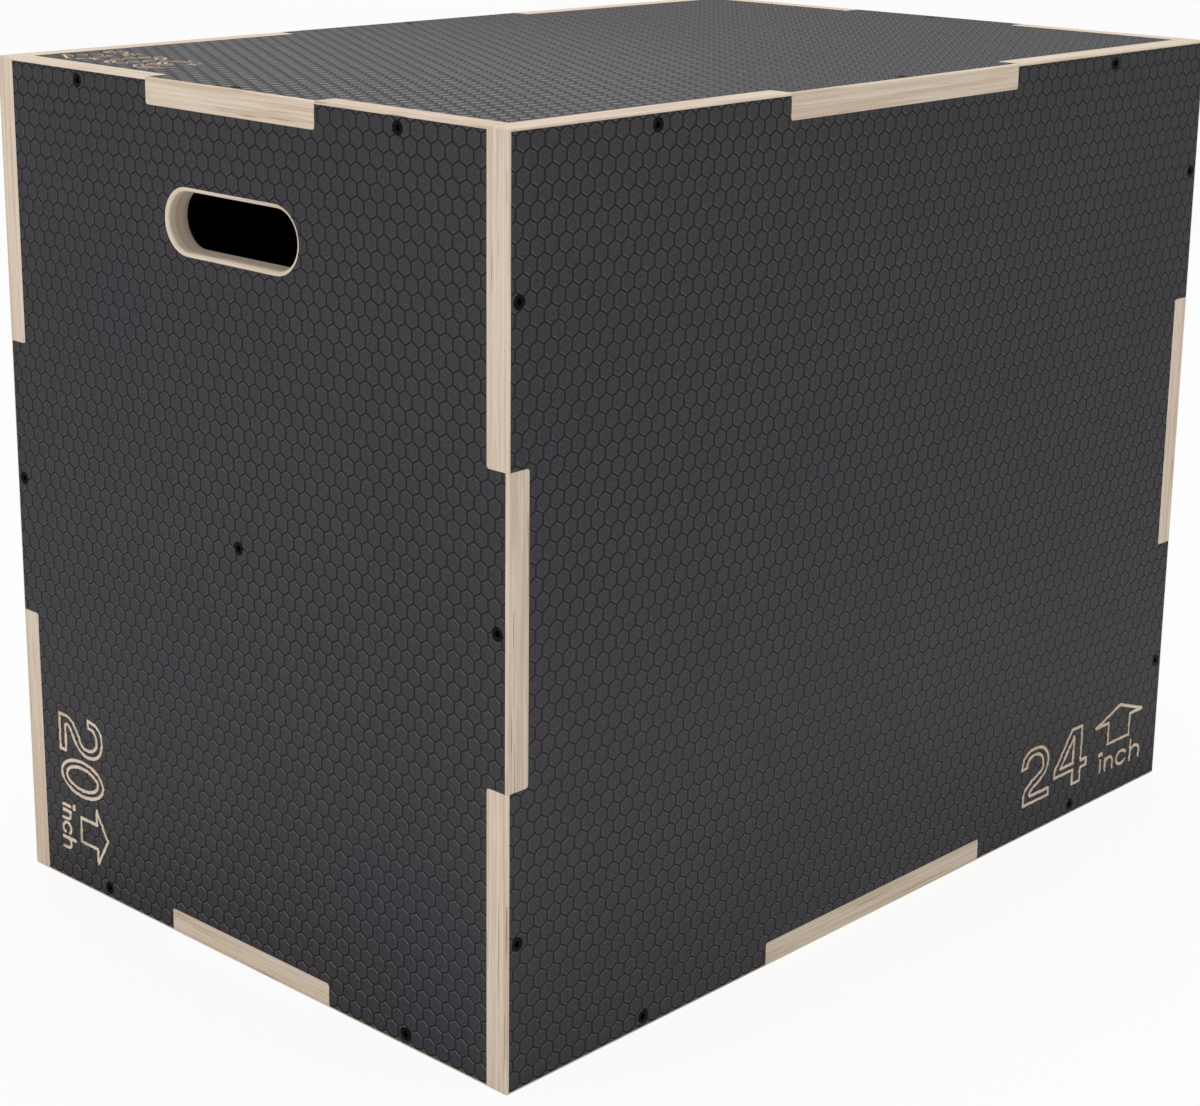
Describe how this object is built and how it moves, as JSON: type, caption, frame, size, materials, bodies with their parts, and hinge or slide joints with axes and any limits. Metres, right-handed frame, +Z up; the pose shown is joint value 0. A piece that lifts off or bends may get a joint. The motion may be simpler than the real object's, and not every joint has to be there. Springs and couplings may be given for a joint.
{
  "type": "plyometric box",
  "caption": "Rigid jumping box of finger-jointed, film-faced plywood with a hand slot in each end panel, turned onto different faces to give different heights.",
  "frame": {"origin": "middle of the footprint, on the floor, with the box standing at its middle height", "axes": "+X along the longest side, towards the right end panel; +Y along the shortest side, from the front panel to the back panel; +Z up"},
  "size_m": [0.762, 0.508, 0.6096],
  "materials": {
    "film_plywood": "dark film with raised hexagons on the outer face, bare cut edges",
    "bare_plywood": "sanded, unfinished",
    "black_screw": "satin black"
  },
  "bodies": {
    "root": {"front_panel": "film_plywood", "back_panel": "film_plywood", "left_end_panel": "film_plywood", "right_end_panel": "film_plywood", "top_panel": "film_plywood", "bottom_panel": "film_plywood", "centre_brace": "bare_plywood", "front_left_joint_screws": "black_screw", "front_right_joint_screws": "black_screw", "back_left_joint_screws": "black_screw", "back_right_joint_screws": "black_screw", "front_top_joint_screws": "black_screw", "front_bottom_joint_screws": "black_screw", "back_top_joint_screws": "black_screw", "back_bottom_joint_screws": "black_screw", "left_top_joint_screws": "black_screw", "left_bottom_joint_screws": "black_screw", "right_top_joint_screws": "black_screw", "right_bottom_joint_screws": "black_screw", "brace_screws": "black_screw"}
  },
  "joints": []
}
